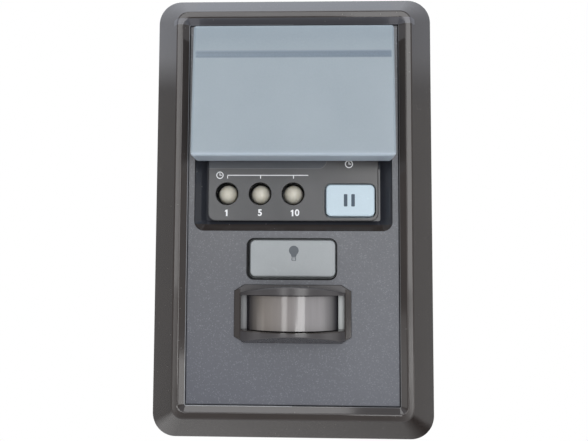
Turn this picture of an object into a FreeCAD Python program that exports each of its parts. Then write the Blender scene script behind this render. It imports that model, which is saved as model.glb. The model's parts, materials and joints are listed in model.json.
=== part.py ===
import FreeCAD, Part
import math
import os
from FreeCAD import Vector

# Garage door wall control, in millimetres.
# It is drawn as it is looked at: x to the right, y up the wall, z out of the wall.
# Each finished piece is then turned so that +Z is up and the front looks along -Y.
# The origin is on the wall, behind the middle of the control.

# Casing: a straight skirt, a sloping side and a flat-topped ridge round the face
CASE_W = 82.0
CASE_H = 130.0
CASE_CORNER_R = 6.8
CASE_WALL = 2.0
SKIRT_H = 6.5
RIM_ROUND_R = 0.9
RIDGE_Z = 19.0
RIDGE_INSET = 7.6
RIDGE_W = 1.75
RIDGE_CORNER_R = 3.3
RIDGE_ROUND_R = 0.5
BEVEL_W = 1.75
BEVEL_DROP = 2.0
BEVEL_STEP = 0.6
BEVEL_CORNER_R = 2.1
BEVEL_ROUND_R = 0.8

# Face panel: a thin metallic plate let into the casing, on pegs
PANEL_T = 1.6
PANEL_CLEAR = 0.1
PANEL_EDGE_R = 0.3
DECK_T = 2.0
PEG_R = 0.9
PEG_CLEAR = 0.05
PANEL_PEG_INSET_X = 5.9
PANEL_PEG_INSET_Y = 5.4

# Well round the timer panel, which takes the push bar and its frame
WELL_SIDE_INSET = 1.9
WELL_TOP_INSET = 1.6
WELL_H = 57.65
WELL_CORNER_R = 2.7
WELL_DEPTH = 5.0
WELL_WALL = 1.5

# Sloping sides of the well round the uncovered part of the timer panel
SLOPE_TOP_DROP = 0.4
SLOPE_W = 2.95
SLOPE_H = 2.95
SLOPE_FOOT_R = 0.5
SLOPE_RAIL_GAP = 0.9

# Raised island in the well, and the timer panel on top of it
ISLAND_SIDE_GAP = 3.7
ISLAND_FOOT_GAP = 2.95
ISLAND_H = 38.4
ISLAND_CORNER_R = 2.2
ISLAND_DECK_T = 1.5
ISLAND_WALL = 0.8
TIMER_PANEL_T = 1.2
TIMER_PANEL_DROP = 1.6
TIMER_PANEL_EDGE_R = 0.4
TIMER_PEG_INSET = 2.8
TIMER_PEG_TO_BUTTON = 2.6

# Circuit board, its screws and the posts that carry it
BOARD_UNDER_WELL = 5.5
BOARD_T = 1.6
BOARD_SIDE_INSET = 0.5
BOARD_TOP_INSET = 0.4
BOARD_H = 89.5
BOARD_CORNER_R = 1.5
BOARD_SCREW_INSET_X = 4.0
BOARD_SCREW_INSET_Y = 3.5
BOARD_BOSS_R = 2.6
COVER_POST_TO_SCREW = 3.5
COVER_POST_PITCH = 30.0
COVER_POST_R = 2.2

# Self-tapping screws, shared by the board and the back cover
SCREW_R = 1.2
SCREW_CLEAR = 0.05
SCREW_HEAD_R = 2.4
SCREW_HEAD_H = 1.0
SCREW_GRIP = 5.0
SCREW_SLOT_W = 0.8
SCREW_SLOT_DEPTH = 0.5
SCREW_CROSS_REACH = 1.45
SCREW_HEAD_CLEAR = 0.2

# Back cover, with its two wall fixings on the spacing of a single switch box
COVER_T = 2.0
COVER_CLEAR = 0.15
FIXING_SPACING = 83.3
TOP_HOLE_R = 2.2
SCREW_WELL_R = 4.5
SCREW_WELL_WALL = 1.2
SCREW_WELL_CLEAR = 0.45
KEY_SLOT_HALF_W = 2.3
KEY_HEAD_R = 4.4
KEY_DROP = 6.0
CASE_SCREW_INSET_X = 8.0
CASE_SCREW_INSET_Y = 8.5
CASE_BOSS_R = 2.9
CASE_BOSS_TOP = 13.0
COVER_PAD_R = 4.0
COVER_PAD_H = 2.0
COVER_RIB_T = 1.2
COVER_RIB_H = 1.0
COVER_RIB_END_GAP = 1.0

# Wire terminals behind a window in the back cover
WINDOW_HALF_W = 12.5
WINDOW_H = 17.0
WINDOW_OVER_TERMINALS = 4.5
WINDOW_CORNER_R = 1.0
TERMINAL_HALF_PITCH = 6.35
TERMINAL_OVER_SENSOR = 10.15
TERMINAL_PLATE_W = 8.4
TERMINAL_PLATE_T = 0.8
TERMINAL_PLATE_CORNER_R = 0.5
TERMINAL_SCREW_R = 1.7
TERMINAL_HEAD_R = 3.4
TERMINAL_HEAD_H = 1.9
TERMINAL_REACH = 9.0

# Push-button switches on the board
SWITCH_HALF = 3.0
SWITCH_H = 3.5
SWITCH_COVER_T = 0.3
SWITCH_CORNER_R = 0.3
SWITCH_RIVET_R = 0.35
SWITCH_RIVET_H = 0.2
SWITCH_LEG_W = 0.7
SWITCH_LEG_REACH = 1.0
SWITCH_LEG_T = 0.2
PLUNGER_R = 1.7
PLUNGER_CLEAR = 0.05
PLUNGER_PROUD = 1.3
PLUNGER_SUNK = 1.1
TRAVEL = 0.5
TRAVEL_SPARE = 0.2

# Buttons: width, height, corner radius, height of the face over its panel, gap round it
LIGHT_UNDER_WELL = 7.75
LIGHT_SIZE = (23.8, 10.2)
LIGHT_CORNER_R = 1.5
LIGHT_PROUD = 1.2
LIGHT_GAP = 0.6
HOLD_SIDE_INSET = 8.05
HOLD_FOOT_INSET = 5.8
HOLD_SIZE = (13.7, 9.0)
HOLD_CORNER_R = 1.4
HOLD_PROUD = 1.3
HOLD_GAP = 0.45
SMALL_GAP = 0.35
SMALL_PROUD = 0.8
SMALL_ROW_Y = 24.4
TIMER_SIZE = (12.0, 6.4)
LOCK_SIDE_INSET = 9.7
LOCK_SIZE = (12.0, 6.4)
LEARN_SIZE = (6.4, 6.4)
SMALL_CORNER_R = 3.1
BUTTON_WALL = 1.2
BUTTON_INNER_R = 0.2
BUTTON_EDGE_R = 0.45
BUTTON_LIP = 0.45
BUTTON_LIP_T = 0.9
BUTTON_LIP_GAP = 0.1
BUTTON_WALL_GAP = 0.15
BUTTON_STEM_R = 1.6

# Timer lamps, at these shares of the way from the island's left side to the hold-open button
LED_SHARES = (0.16, 0.441, 0.721)
LED_FOOT_INSET = 7.75
LED_HOLE_R = 3.3
LED_R = 2.75
LED_DEPTH = 0.8
LED_SHIFT = 0.12
LED_FLANGE_R = 3.0
LED_FLANGE_T = 1.0
SHROUD_WALL = 0.8
SHROUD_GAP = 1.4

# Push bar: a wedge-shaped translucent cap, hinged on pegs near its top edge
BAR_SIDE_GAP = 0.2
BAR_TOP_GAP = 1.0
BAR_H = 36.9
BAR_OVER_PANEL = 1.2
BAR_TOP_DEPTH = 6.8
BAR_BOTTOM_DEPTH = 9.9
BAR_WALL = 1.4
BAR_CORNER_R = 0.9
BAR_EDGE_R = 0.6
BAR_FOOT_R = 1.2
BAR_LIFT_CHAMFER = 1.8
BAR_RIB_DROPS = (9.15, 8.2)
BAR_RIB_T = 0.45
BAR_RIB_DEPTH = 1.2
HINGE_DROP = 4.2
HINGE_OVER_BACK = 2.8
HINGE_PEG_R = 1.5
HINGE_CLEAR = 0.05
EAR_R = 2.5
EAR_T = 1.4
EAR_GAP = 0.3
EAR_STEM_DROPS = (3.5, 1.1)

# Sprung frame under the push bar, in the well
FRAME_LIFT = 0.9
FRAME_REST_GAP = 0.05
RAIL_W = 2.4
RAIL_WALL_GAP = 0.6
RAIL_FOOT_INSET = 2.1
RAIL_STEP_DROP = 3.1
CROSSBAR_T = 2.1
CROSSBAR_H = 4.0
CROSSBAR_GAP = 1.5
DOOR_NUB_HOLE_R = 2.2
HOOK_INSET_LOW = 3.5
HOOK_INSET_HIGH = 3.0
HOOK_R = 1.1
HOOK_CLEAR = 0.08
HOOK_HEAD_R = 1.5
HOOK_HEAD_H = 1.2
SPRING_TO_RAIL = 6.0
SPRING_R = 1.75
SPRING_WIRE_R = 0.25
SPRING_WIRE_SIDES = 12
SPRING_TURNS = 4
SPRING_PIN_R = 1.1
SPRING_CUP_DEPTH = 2.8
SPRING_CUP_CLEAR = 0.3
SPRING_CUP_WALL = 0.8
SPRING_POCKET = 1.2

# Motion sensor window: a curved lens under a hood with two arched brows
SENSOR_UNDER_LIGHT = 15.05
HOOD_HALF_W = 16.3
HOOD_HALF_H = 7.6
HOOD_CUT_X = 2.8
HOOD_CUT_Y = 1.75
HOOD_CLEAR = 0.12
HOOD_BASE_PROUD = 0.6
HOOD_CHIN = 0.85
HOOD_SIDE_TAPER = 1.5
HOOD_TOP_TAPER = 0.3
HOOD_CHIN_TAPER = 2.2
BROW_ARCH_R = 62.0
BROW_ARCH_DROP = 0.35
BROW_OVER_LENS = 1.7
BROW_FLARE = 0.2
BROW_EDGE_R = 0.3
LENS_R = 15.9
LENS_PROUD = 7.0
LENS_T = 0.8
LENS_HALF_W = 12.8
LENS_HALF_H = 4.7
LENS_WINDOW_HALF_W = 14.4
LENS_FLANGE_HALF_W = 15.2
LENS_FLANGE_T = 0.9
LENS_CLEAR = 0.1
LENS_FLUTES = 14
LENS_FLUTE_DEPTH = 0.25
VIEW_HALF_W = 12.2
VIEW_HALF_H = 4.0
HOOD_PIN_X = 9.5
HOOD_PIN_R = 0.9
EYE_R = 4.55
EYE_H = 4.2
EYE_FLANGE_R = 4.95
EYE_FLANGE_T = 0.5
EYE_WINDOW_W = 4.0
EYE_WINDOW_H = 3.0
EYE_WINDOW_DEPTH = 0.3

# Other parts on the board
CHIP_SIDE_INSET = 16.5
CHIP_OVER_ROW = 8.6
CHIP_HALF = 3.6
CHIP_T = 1.3
CHIP_PINS = 8
CHIP_PIN_PITCH = 0.8
CHIP_PIN_W = 0.35
CHIP_PIN_REACH = 0.9
CAPACITOR_SIDE_INSETS = (18.3, 11.3)
CAPACITOR_OVER_ROW = 9.0
CAPACITOR_R = 3.1
CAPACITOR_H = 3.8
CAPACITOR_BASE_T = 0.8
CAPACITOR_BASE_CORNER_R = 0.5
CAPACITOR_EDGE_R = 0.4

# Cutters run this far past the surface they open, and joined posts sink this far in
OVERRUN = 1.0

# Edges are picked out by their place, within these distances
ON_PLANE = 1e-4
ON_SLOPE = 0.02

# Heights off the wall that follow from the sizes above
panel_z = RIDGE_Z - BEVEL_DROP
bevel_foot = panel_z + BEVEL_STEP
deck_z = panel_z - PANEL_T
deck_back = deck_z - DECK_T
well_floor = panel_z - WELL_DEPTH
floor_back = well_floor - WELL_WALL
slope_top = panel_z - SLOPE_TOP_DROP
slope_foot = slope_top - SLOPE_H
timer_z = panel_z - TIMER_PANEL_DROP
island_z = timer_z - TIMER_PANEL_T
island_back = island_z - ISLAND_DECK_T
board_z = floor_back - BOARD_UNDER_WELL
board_top_z = board_z + BOARD_T
switch_top = board_top_z + SWITCH_H
plunger_top = switch_top + PLUNGER_PROUD
frame_bottom = well_floor + FRAME_LIFT
bar_back_z = panel_z + BAR_OVER_PANEL
bar_top_z = bar_back_z + BAR_TOP_DEPTH
bar_bottom_z = bar_back_z + BAR_BOTTOM_DEPTH
hinge_z = bar_back_z + HINGE_OVER_BACK
lens_front_z = panel_z + LENS_PROUD
lens_axis_z = lens_front_z - LENS_R
brow_r = LENS_R + BROW_OVER_LENS
brow_front_z = lens_axis_z + brow_r

# Places across the control, from the casing inwards
panel_half_w = CASE_W / 2 - RIDGE_INSET - RIDGE_W - BEVEL_W
well_half_w = panel_half_w - WELL_SIDE_INSET
island_half_w = well_half_w - ISLAND_SIDE_GAP
board_half_w = well_half_w - BOARD_SIDE_INSET
board_screw_x = board_half_w - BOARD_SCREW_INSET_X
cover_post_x = board_screw_x - COVER_POST_TO_SCREW
hold_x = island_half_w - HOLD_SIDE_INSET
hold_left = hold_x - HOLD_SIZE[0] / 2
lock_x = LOCK_SIDE_INSET - island_half_w
learn_x = (lock_x + hold_x) / 2
led_x = [share * (hold_left + island_half_w) - island_half_w for share in LED_SHARES]
bar_half_w = well_half_w - BAR_SIDE_GAP
bar_inner = bar_half_w - BAR_WALL
rail_out = well_half_w - RAIL_WALL_GAP
rail_in = rail_out - RAIL_W
rail_mid = (rail_in + rail_out) / 2
ear_out = bar_inner - EAR_GAP
ear_in = ear_out - EAR_T
spring_x = rail_in - SPRING_TO_RAIL
spring_cup_r = SPRING_R + SPRING_WIRE_R + SPRING_CUP_CLEAR
screw_well_out = SCREW_WELL_R + SCREW_WELL_WALL
door_switch_x = -(screw_well_out + spring_x - spring_cup_r - SPRING_CUP_WALL) / 2

# Places down the control, from the face panel's top edge
panel_half_h = CASE_H / 2 - RIDGE_INSET - RIDGE_W - BEVEL_W
well_top = panel_half_h - WELL_TOP_INSET
well_bottom = well_top - WELL_H
island_bottom = well_bottom + ISLAND_FOOT_GAP
island_top = island_bottom + ISLAND_H
led_y = island_bottom + LED_FOOT_INSET
small_y = island_bottom + SMALL_ROW_Y
board_top = panel_half_h - BOARD_TOP_INSET
board_bottom = board_top - BOARD_H
bar_top = well_top - BAR_TOP_GAP
bar_bottom = bar_top - BAR_H
hinge_y = bar_top - HINGE_DROP
rail_bottom = bar_bottom + RAIL_FOOT_INSET
rail_step_y = hinge_y - RAIL_STEP_DROP
crossbar_top = well_top - CROSSBAR_GAP
crossbar_bottom = crossbar_top - CROSSBAR_H
crossbar_y = (crossbar_top + crossbar_bottom) / 2
light_at = (0.0, well_bottom - LIGHT_UNDER_WELL)
sensor_y = light_at[1] - SENSOR_UNDER_LIGHT
terminal_y = sensor_y + TERMINAL_OVER_SENSOR
window_top = terminal_y + WINDOW_OVER_TERMINALS
fixing_y = FIXING_SPACING / 2

# Middles of the buttons, lamps and small fasteners
hold_at = (hold_x, island_bottom + HOLD_FOOT_INSET)
timer_at = (hold_x, small_y)
lock_at = (lock_x, small_y)
learn_at = (learn_x, small_y)
door_switch_at = (door_switch_x, crossbar_y)
spring_at = [(-spring_x, crossbar_y), (spring_x, crossbar_y)]
chip_at = (CHIP_SIDE_INSET - board_half_w, small_y + CHIP_OVER_ROW)
capacitor_y = small_y + CAPACITOR_OVER_ROW
capacitor_at = [(board_half_w - inset, capacitor_y) for inset in CAPACITOR_SIDE_INSETS]


def corners_at(x, low, high):
    """Four places, left and right of the middle, at a low and a high y."""
    return [(-x, high), (x, high), (-x, low), (x, low)]


case_screw_y = CASE_H / 2 - CASE_SCREW_INSET_Y
case_screw_at = corners_at(CASE_W / 2 - CASE_SCREW_INSET_X, -case_screw_y, case_screw_y)
board_screw_low = board_bottom + BOARD_SCREW_INSET_Y
board_screw_high = board_top - BOARD_SCREW_INSET_Y
board_screw_at = corners_at(board_screw_x, board_screw_low, board_screw_high)
cover_post_at = corners_at(cover_post_x, small_y - COVER_POST_PITCH, small_y)
panel_peg_x = panel_half_w - PANEL_PEG_INSET_X
panel_peg_at = corners_at(panel_peg_x, PANEL_PEG_INSET_Y - panel_half_h, light_at[1])
timer_peg_x = island_half_w - TIMER_PEG_INSET
timer_peg_low = island_bottom + TIMER_PEG_INSET
timer_peg_high = island_top - TIMER_PEG_INSET
timer_peg_at = [
    (-timer_peg_x, timer_peg_high),
    (timer_peg_x, timer_peg_high),
    (-timer_peg_x, timer_peg_low),
    (hold_left - TIMER_PEG_TO_BUTTON, timer_peg_low),
]


def outline(x0, x1, y0, y1, r, z):
    """Closed rectangle with round corners, lying at height z."""
    s = r * (1 - math.sqrt(0.5))
    corners = [
        ((x1 - r, y0), (x1 - s, y0 + s), (x1, y0 + r)),
        ((x1, y1 - r), (x1 - s, y1 - s), (x1 - r, y1)),
        ((x0 + r, y1), (x0 + s, y1 - s), (x0, y1 - r)),
        ((x0, y0 + r), (x0 + s, y0 + s), (x0 + r, y0)),
    ]
    edges = []
    for i, (start, mid, end) in enumerate(corners):
        edges.append(Part.Arc(*[Vector(p[0], p[1], z) for p in (start, mid, end)]).toShape())
        following = corners[(i + 1) % 4][0]
        edges.append(Part.LineSegment(Vector(*end, z), Vector(*following, z)).toShape())
    return Part.Wire(edges)


def slab(x0, x1, y0, y1, z0, z1, r=0.0):
    """Flat block between two heights, with round corners where r is given."""
    if r <= 0:
        return Part.makeBox(x1 - x0, y1 - y0, z1 - z0, Vector(x0, y0, z0))
    return Part.Face(outline(x0, x1, y0, y1, r, z0)).extrude(Vector(0, 0, z1 - z0))


def slab_at(centre, half_w, half_h, z0, z1, r=0.0):
    """Flat block given by its middle and its half sizes."""
    cx, cy = centre
    return slab(cx - half_w, cx + half_w, cy - half_h, cy + half_h, z0, z1, r)


def post(x, y, r, z0, z1):
    return Part.makeCylinder(r, z1 - z0, Vector(x, y, z0))


def prism(points, z0, z1):
    """Straight-sided block over a closed list of x, y points."""
    corners = [Vector(x, y, z0) for x, y in points]
    return Part.Face(Part.makePolygon(corners + corners[:1])).extrude(Vector(0, 0, z1 - z0))


def side_prism(points, x0, x1):
    """Block whose outline is a list of y, z points, running from x0 to x1."""
    corners = [Vector(x0, y, z) for y, z in points]
    return Part.Face(Part.makePolygon(corners + corners[:1])).extrude(Vector(x1 - x0, 0, 0))


def joined(shapes):
    shapes = list(shapes)
    return shapes[0].fuse(shapes[1:]).removeSplitter() if len(shapes) > 1 else shapes[0]


def rounded_top(shape, z, r):
    """Rounds every edge that lies in the plane at height z."""
    edges = [e for e in shape.Edges if all(abs(v.Z - z) < ON_PLANE for v in e.Vertexes)]
    return shape.makeFillet(r, edges)


def case_outline(inset, r, z):
    half_w = CASE_W / 2 - inset
    half_h = CASE_H / 2 - inset
    return outline(-half_w, half_w, -half_h, half_h, r, z)


def slope_inset(z):
    """How far the sloping side has moved in from the casing's outline at height z."""
    return RIDGE_INSET * (z - SKIRT_H) / (RIDGE_Z - SKIRT_H)


def panel_block(inset, r, top):
    """Flat block in the face panel's place up to top, drawn in by inset on every side."""
    half_w = panel_half_w - inset
    half_h = panel_half_h - inset
    return slab(-half_w, half_w, -half_h, half_h, deck_z, top, r)


def casing_body():
    """Outer form of the casing, before it is hollowed."""
    skirt = Part.Face(case_outline(0, CASE_CORNER_R, 0)).extrude(Vector(0, 0, SKIRT_H))
    sides = Part.makeLoft(
        [case_outline(0, CASE_CORNER_R, SKIRT_H), case_outline(RIDGE_INSET, RIDGE_CORNER_R, RIDGE_Z)],
        True,
        True,
    )
    body = rounded_top(joined([skirt, sides]), SKIRT_H, RIM_ROUND_R)
    body = rounded_top(body, RIDGE_Z, RIDGE_ROUND_R)
    inner_edge = RIDGE_INSET + RIDGE_W
    recess = Part.makeLoft(
        [
            case_outline(inner_edge, BEVEL_CORNER_R, RIDGE_Z),
            case_outline(inner_edge + BEVEL_W, PANEL_EDGE_R, bevel_foot),
        ],
        True,
        True,
    )
    body = body.cut(recess.fuse(panel_block(0, PANEL_EDGE_R, bevel_foot)))
    return body.makeFillet(BEVEL_ROUND_R, [e for e in body.Edges if is_bevel_edge(e)])


def is_bevel_edge(edge):
    """True for the edges between the flat ridge and the bevel inside it."""
    reach_x = CASE_W / 2 - RIDGE_INSET - RIDGE_W + ON_PLANE
    reach_y = CASE_H / 2 - RIDGE_INSET - RIDGE_W + ON_PLANE
    spots = [v.Point for v in edge.Vertexes]
    return all(
        abs(p.z - RIDGE_Z) < ON_PLANE and abs(p.x) < reach_x and abs(p.y) < reach_y
        for p in spots
    )


def casing_hollow():
    """Space inside the casing: everything behind the deck, and up inside the ridge."""
    corner_r = CASE_CORNER_R - CASE_WALL
    skirt = Part.Face(case_outline(CASE_WALL, corner_r, 0)).extrude(Vector(0, 0, SKIRT_H))
    ridge_top = RIDGE_Z - CASE_WALL
    inner_corner = max(RIDGE_CORNER_R - CASE_WALL, PANEL_EDGE_R)
    sides = Part.makeLoft(
        [
            case_outline(CASE_WALL, corner_r, SKIRT_H),
            case_outline(CASE_WALL + slope_inset(ridge_top), inner_corner, ridge_top),
        ],
        True,
        True,
    )
    seat_w = panel_half_w + WELL_WALL
    seat_h = panel_half_h + WELL_WALL
    seat = slab(-seat_w, seat_w, -seat_h, seat_h, deck_back, RIDGE_Z)
    return joined([skirt, sides]).cut(seat)


def well_outline(extra, r, z):
    """The well's outline at height z, grown by extra on every side."""
    half_w = well_half_w + extra
    return outline(-half_w, half_w, well_bottom - extra, well_top + extra, r, z)


def well_block(extra, z0, z1):
    """Block over the well's outline, grown by extra on every side."""
    face = Part.Face(well_outline(extra, WELL_CORNER_R + extra, z0))
    return face.extrude(Vector(0, 0, z1 - z0))


def well_slopes():
    """Sloping sides that lead from the face panel down to the foot of the island."""
    block = well_block(-PANEL_CLEAR, floor_back, slope_top)
    rings = [
        well_outline(-PANEL_CLEAR, WELL_CORNER_R - PANEL_CLEAR, slope_top),
        well_outline(-PANEL_CLEAR - SLOPE_W, SLOPE_FOOT_R, slope_foot),
    ]
    hollow = Part.makeLoft(rings, True, True)
    slope_end = rail_bottom - SLOPE_RAIL_GAP
    covered = slab(-CASE_W / 2, CASE_W / 2, slope_end, CASE_H / 2, floor_back, slope_top)
    return block.cut([hollow, covered])


def island_block(inset, z0, z1):
    """The island's outline, drawn in by inset on every side."""
    return slab(
        -island_half_w + inset,
        island_half_w - inset,
        island_bottom + inset,
        island_top - inset,
        z0,
        z1,
        ISLAND_CORNER_R - inset,
    )


def octagon(grow, side_taper=0.0, top_taper=0.0, chin_taper=0.0):
    """The sensor hood's outline with its four cut corners."""
    half_w = HOOD_HALF_W + grow - side_taper
    top = sensor_y + HOOD_HALF_H + grow - top_taper
    chin = sensor_y - HOOD_HALF_H - HOOD_CHIN - grow + chin_taper
    points = []
    for sx, sy, first in ((1, -1, "x"), (1, 1, "y"), (-1, 1, "x"), (-1, -1, "y")):
        end = top if sy > 0 else chin
        near_x = (sx * (half_w - HOOD_CUT_X), end)
        near_y = (sx * half_w, end - sy * HOOD_CUT_Y)
        points += [near_x, near_y] if first == "x" else [near_y, near_x]
    return points


def led_spots():
    return [(x, led_y) for x in led_x]


def button_hole(centre, size, corner_r, gap, z0, z1):
    return slab_at(centre, size[0] / 2 + gap, size[1] / 2 + gap, z0, z1, corner_r + gap)


def small_buttons():
    """Middle and size of the buttons that the push bar covers."""
    return [(timer_at, TIMER_SIZE), (lock_at, LOCK_SIZE), (learn_at, LEARN_SIZE)]


def timer_panel_holes(z0, z1):
    """Cutters for the lamps and buttons that come through the timer panel."""
    cutters = [post(x, y, LED_HOLE_R, z0, z1) for x, y in led_spots()]
    cutters.append(button_hole(hold_at, HOLD_SIZE, HOLD_CORNER_R, HOLD_GAP, z0, z1))
    for centre, size in small_buttons():
        cutters.append(button_hole(centre, size, SMALL_CORNER_R, SMALL_GAP, z0, z1))
    return cutters


def peg_holes(pegs, z0, z1):
    return [post(x, y, PEG_R + PEG_CLEAR, z0, z1) for x, y in pegs]


def housing_solids():
    """Bosses, screw well, lamp shrouds and spring cups inside the housing."""
    solids = []
    for x, y in board_screw_at:
        boss_top = deck_z if y < well_bottom else well_floor
        solids.append(post(x, y, BOARD_BOSS_R, board_top_z, boss_top))
    for x, y in case_screw_at:
        solids.append(post(x, y, CASE_BOSS_R, COVER_T + COVER_PAD_H, CASE_BOSS_TOP))
    solids.append(post(0, fixing_y, screw_well_out, COVER_T, well_floor))
    shroud_end = board_top_z + SHROUD_GAP
    for x, y in led_spots():
        solids.append(post(x, y, LED_HOLE_R + SHROUD_WALL, shroud_end, island_z))
    cup_end = well_floor - SPRING_CUP_DEPTH - SPRING_CUP_WALL
    for x, y in spring_at:
        solids.append(post(x, y, spring_cup_r + SPRING_CUP_WALL, cup_end, well_floor))
    return solids


def deck_openings():
    """Cutters through the deck for the light button, the lens's view, and pegs and pins."""
    low = deck_back - OVERRUN
    high = deck_z + OVERRUN
    cutters = [button_hole(light_at, LIGHT_SIZE, LIGHT_CORNER_R, LIGHT_GAP, low, high)]
    cutters.append(slab_at((0, sensor_y), VIEW_HALF_W, VIEW_HALF_H, low, high))
    cutters += [post(x, sensor_y + dy, HOOD_PIN_R + PEG_CLEAR, low, high) for x, dy in hood_pins()]
    return cutters + peg_holes(panel_peg_at, low, high)


def well_openings():
    """Cutters in the well's floor: screw well, spring cups, hooks and the switch nub."""
    low = floor_back - OVERRUN
    high = well_floor + OVERRUN
    cutters = [post(0, fixing_y, SCREW_WELL_R, 0, high)]
    cutters += [post(x, y, spring_cup_r, well_floor - SPRING_CUP_DEPTH, high) for x, y in spring_at]
    cutters += [post(x, y, HOOK_R + HOOK_CLEAR, low, high) for x, y in hooks()]
    cutters.append(post(*door_switch_at, DOOR_NUB_HOLE_R, low, high))
    return cutters


def screw_holes():
    """Pilot holes for the board's screws and the back cover's screws."""
    hole_r = SCREW_R + SCREW_CLEAR
    board_end = board_top_z + SCREW_GRIP - BOARD_T + SCREW_CLEAR
    case_end = COVER_T + COVER_PAD_H + SCREW_GRIP
    cutters = [post(x, y, hole_r, 0, board_end) for x, y in board_screw_at]
    return cutters + [post(x, y, hole_r, 0, case_end) for x, y in case_screw_at]


def front_housing():
    """Moulded casing with its deck, the push bar's well and the timer panel's island."""
    body = casing_body().cut(casing_hollow())
    body = body.fuse(well_block(WELL_WALL, floor_back, deck_z))
    body = body.cut(well_block(0, well_floor, panel_z))
    body = body.fuse([well_slopes(), island_block(0, floor_back, island_z)])
    body = body.cut(island_block(ISLAND_WALL, floor_back, island_back))
    body = body.fuse(housing_solids())
    cutters = timer_panel_holes(0, island_z + OVERRUN)
    cutters += peg_holes(timer_peg_at, island_back - OVERRUN, island_z + OVERRUN)
    cutters += deck_openings() + well_openings() + screw_holes()
    return body.cut(cutters).removeSplitter()


def face_panel():
    """Metallic plate with openings for the well, the light button and the sensor hood."""
    plate = panel_block(PANEL_CLEAR, PANEL_EDGE_R, panel_z)
    plate = rounded_top(plate, panel_z, PANEL_EDGE_R)
    pegs = [post(x, y, PEG_R, deck_back, deck_z + PANEL_T / 2) for x, y in panel_peg_at]
    low = deck_z - OVERRUN
    high = panel_z + OVERRUN
    cutters = [
        well_block(0, low, high),
        button_hole(light_at, LIGHT_SIZE, LIGHT_CORNER_R, LIGHT_GAP, low, high),
        prism(octagon(HOOD_CLEAR), low, high),
    ]
    return plate.fuse(pegs).cut(cutters).removeSplitter()


def timer_panel():
    """Gloss plate over the island, with round holes for the lamps."""
    plate = rounded_top(island_block(0, island_z, timer_z), timer_z, TIMER_PANEL_EDGE_R)
    pegs = [post(x, y, PEG_R, island_back, island_z + TIMER_PANEL_T / 2) for x, y in timer_peg_at]
    cutters = timer_panel_holes(island_back - OVERRUN, timer_z + OVERRUN)
    return plate.fuse(pegs).cut(cutters).removeSplitter()


def button(centre, size, corner_r, gap, deck_under, face_z, room=None):
    """Hollow moulded cap with a lip behind the deck and a stem down to its switch."""
    half_w = size[0] / 2
    half_h = size[1] / 2
    lip_top = deck_under - BUTTON_LIP_GAP
    lip_bottom = lip_top - BUTTON_LIP_T
    lip = gap + BUTTON_LIP
    cap = slab_at(centre, half_w, half_h, lip_bottom, face_z, corner_r)
    cap = rounded_top(cap, face_z, BUTTON_EDGE_R)
    flange = slab_at(centre, half_w + lip, half_h + lip, lip_bottom, lip_top, corner_r + lip)
    if room:
        flange = flange.common(room)
    inner_r = max(corner_r - BUTTON_WALL, BUTTON_INNER_R)
    hollow_w = half_w - BUTTON_WALL
    hollow_h = half_h - BUTTON_WALL
    hollow = slab_at(centre, hollow_w, hollow_h, lip_bottom, face_z - BUTTON_WALL, inner_r)
    stem = post(*centre, BUTTON_STEM_R, plunger_top, face_z - BUTTON_WALL / 2)
    return cap.fuse(flange).cut(hollow).fuse(stem).removeSplitter()


def light_button():
    return button(light_at, LIGHT_SIZE, LIGHT_CORNER_R, LIGHT_GAP, deck_back, panel_z + LIGHT_PROUD)


def island_button(centre, size, corner_r, gap, proud):
    """Button of the timer panel, whose lip stays inside the island's walls."""
    room = island_block(ISLAND_WALL + BUTTON_WALL_GAP, floor_back, island_back)
    return button(centre, size, corner_r, gap, island_back, timer_z + proud, room)


def hold_open_button():
    return island_button(hold_at, HOLD_SIZE, HOLD_CORNER_R, HOLD_GAP, HOLD_PROUD)


def small_button(centre, size):
    return island_button(centre, size, SMALL_CORNER_R, SMALL_GAP, SMALL_PROUD)


def switch(centre):
    """Square push-button switch: base, steel cover held by four rivets, and four legs."""
    x, y = centre
    base_top = switch_top - SWITCH_COVER_T
    base = slab_at(centre, SWITCH_HALF, SWITCH_HALF, board_top_z, base_top)
    cover = slab_at(centre, SWITCH_HALF, SWITCH_HALF, base_top, switch_top, SWITCH_CORNER_R)
    solids = [cover]
    rivet_at = SWITCH_HALF - 2 * SWITCH_RIVET_R
    for sx in (-1, 1):
        for sy in (-1, 1):
            spot = (x + sx * rivet_at, y + sy * rivet_at)
            solids.append(post(*spot, SWITCH_RIVET_R, board_top_z, switch_top + SWITCH_RIVET_H))
            foot = (x + sx * (SWITCH_HALF + SWITCH_LEG_REACH / 2), spot[1])
            leg_top = board_top_z + SWITCH_LEG_T
            leg = slab_at(foot, SWITCH_LEG_REACH / 2, SWITCH_LEG_W / 2, board_top_z, leg_top)
            solids.append(leg)
    bore_bottom = switch_top - PLUNGER_SUNK - TRAVEL - TRAVEL_SPARE
    bore = post(x, y, PLUNGER_R + PLUNGER_CLEAR, bore_bottom, switch_top + OVERRUN)
    return base.fuse(solids).cut(bore).removeSplitter()


def plunger(centre):
    return post(*centre, PLUNGER_R, switch_top - PLUNGER_SUNK, plunger_top)


def led(x):
    """Round lamp with a domed end, standing on its flange, a little right of its hole."""
    at = x + LED_SHIFT
    flange = post(at, led_y, LED_FLANGE_R, board_top_z, board_top_z + LED_FLANGE_T)
    dome_z = timer_z - LED_DEPTH - LED_R
    barrel = post(at, led_y, LED_R, board_top_z, dome_z)
    dome = Part.makeSphere(LED_R, Vector(at, led_y, dome_z), Vector(0, 0, 1), 0, 90)
    return joined([flange, barrel, dome])


def bar_front_z(y):
    """Height of the push bar's front face, which leans out towards the bottom."""
    return bar_bottom_z + (bar_top_z - bar_bottom_z) * (y - bar_bottom) / (bar_top - bar_bottom)


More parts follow.
